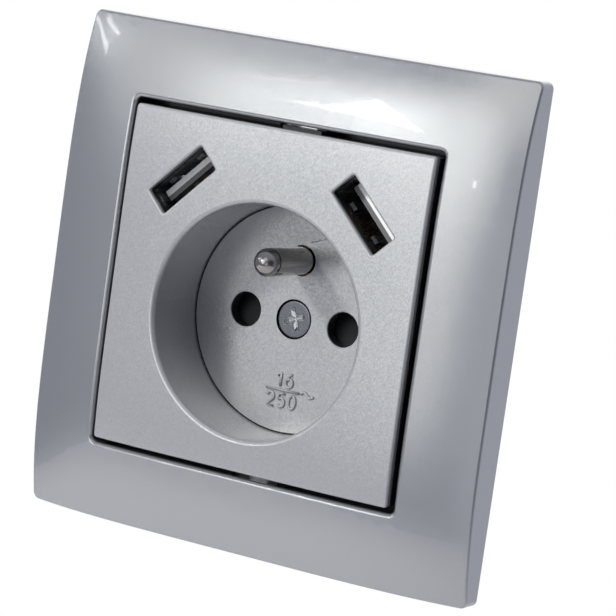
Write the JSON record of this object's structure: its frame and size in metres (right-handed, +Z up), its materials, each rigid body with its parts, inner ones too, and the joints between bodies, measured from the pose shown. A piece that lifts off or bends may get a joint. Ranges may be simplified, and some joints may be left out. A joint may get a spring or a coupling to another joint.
{
  "type": "usb wall socket",
  "caption": "Square flush wall socket with a pillowed frame, round plug well, earth pin, sprung shutter, USB-A ports, steel ring and spreader claws.",
  "frame": {"origin": "middle of the two box-screw slots, on the wall surface", "axes": "+X to the right seen from the room, +Y into the wall, +Z up"},
  "size_m": [0.0856, 0.0382, 0.0856],
  "materials": {
    "frame_silver": "gloss silver",
    "plate_silver": "satin silver with fine flake",
    "nickel": "bright nickel",
    "port_black": "matt black",
    "usb_steel": "bright sheet",
    "tongue_grey": "matt light grey",
    "contact_gold": "gold plated",
    "shutter_black": "matt black",
    "spring_steel": "drawn wire",
    "insulator_black": "matt black",
    "base_grey": "matt light grey",
    "brass": "stamped sheet",
    "zinc": "zinc plated",
    "board_green": "solder mask",
    "ferrite": "sintered",
    "tape_yellow": "tape",
    "sleeve_black": "shrink sleeve"
  },
  "bodies": {
    "socket": {"outer_frame": "frame_silver", "cover_plate": "plate_silver", "centre_screw": "nickel", "earth_pin": "nickel", "usb_bezel_left": "port_black", "usb_bezel_right": "port_black", "usb_shell_left": "usb_steel", "usb_shell_right": "usb_steel", "usb_tongue_left": "tongue_grey", "usb_tongue_right": "tongue_grey", "usb_contacts_left": "contact_gold", "usb_contacts_right": "contact_gold", "shutter_spring": "spring_steel", "contact_cover": "insulator_black", "base_housing": "base_grey", "live_contact": "brass", "neutral_contact": "brass", "earth_strap": "brass", "centre_nut": "brass", "terminal_clamps": "zinc", "terminal_screws": "zinc", "mounting_ring": "zinc", "ring_screws": "zinc", "claw_pin_left": "zinc", "claw_pin_right": "zinc", "usb_board": "board_green", "board_screws": "zinc", "transformer_core": "ferrite", "transformer_winding": "tape_yellow", "capacitors": "sleeve_black"},
    "shutter_bar": {"shutter": "shutter_black"},
    "left_claw": {"claw_left": "zinc"},
    "right_claw": {"claw_right": "zinc"},
    "left_claw_screw": {"claw_screw_left": "zinc"},
    "right_claw_screw": {"claw_screw_right": "zinc"}
  },
  "joints": [
    {"name": "shutter_slide", "type": "slide", "parent": "socket", "child": "shutter_bar", "axis": [0, 0, -1], "range_m": [0, 0.006], "stiffness_N_per_m": 200, "springref_m": -0.004, "deforming": ["shutter_spring"]},
    {"name": "claw_left_swing", "type": "hinge", "parent": "socket", "child": "left_claw", "pos_m": [-0.0294, 0.0042, 0], "axis": [0, 0, 1], "range_deg": [0, 25]},
    {"name": "claw_right_swing", "type": "hinge", "parent": "socket", "child": "right_claw", "pos_m": [0.0294, 0.0042, 0], "axis": [0, 0, -1], "range_deg": [0, 25]},
    {"name": "claw_screw_left_drive", "type": "slide", "parent": "socket", "child": "left_claw_screw", "axis": [0, 1, 0], "range_m": [0, 0.0012]},
    {"name": "claw_screw_right_drive", "type": "slide", "parent": "socket", "child": "right_claw_screw", "axis": [0, 1, 0], "range_m": [0, 0.0012]}
  ],
  "couplings": [
    {"joint": "claw_left_swing", "follows": "claw_screw_left_drive", "rad_per_m": 362},
    {"joint": "claw_right_swing", "follows": "claw_screw_right_drive", "rad_per_m": 362}
  ]
}
